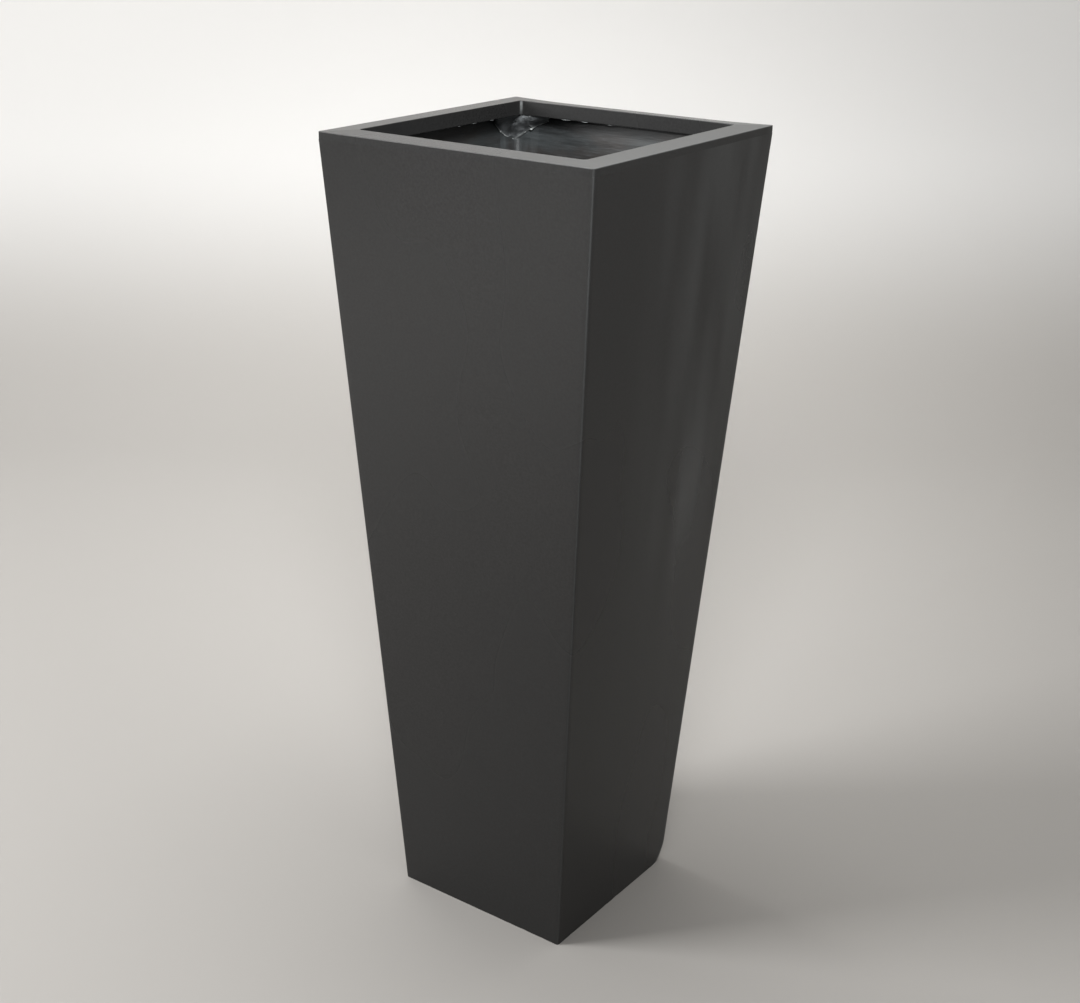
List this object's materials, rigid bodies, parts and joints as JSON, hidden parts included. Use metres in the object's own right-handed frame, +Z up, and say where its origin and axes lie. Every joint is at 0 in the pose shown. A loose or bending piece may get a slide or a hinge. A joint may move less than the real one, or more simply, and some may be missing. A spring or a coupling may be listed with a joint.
{
  "type": "tall planter",
  "caption": "Tall tapered square planter in painted glass laminate with a flat rim, a return lip, webbed corners and a raised base with a drain hole and plug.",
  "frame": {"origin": "on the floor, under the middle of the foot", "axes": "+Z up along the planter's middle, front face towards -Y, right face towards +X"},
  "size_m": [0.376, 0.376, 1],
  "materials": {
    "painted_laminate": "satin dark grey paint over glass laminate",
    "raw_laminate": "rough dark pigmented laminate with glass fibre showing",
    "glass_tape": "resin-wetted glass tape with its weave showing",
    "bonding_paste": "smoothed grey bonding paste",
    "rubber": "matt black rubber"
  },
  "bodies": {
    "planter": {"wall_shell": "painted_laminate", "rim_frame": "painted_laminate", "corner_web_back_right": "raw_laminate", "corner_web_back_left": "raw_laminate", "corner_web_front_left": "raw_laminate", "corner_web_front_right": "raw_laminate", "corner_tape_back_right": "glass_tape", "corner_tape_back_left": "glass_tape", "corner_tape_front_left": "glass_tape", "corner_tape_front_right": "glass_tape", "base_panel": "raw_laminate", "base_bond": "bonding_paste"},
    "plug": {"drain_plug": "rubber"}
  },
  "joints": [
    {"name": "plug_lift", "type": "slide", "parent": "planter", "child": "plug", "axis": [0, 0, 1], "range_m": [0, 1.05]}
  ]
}
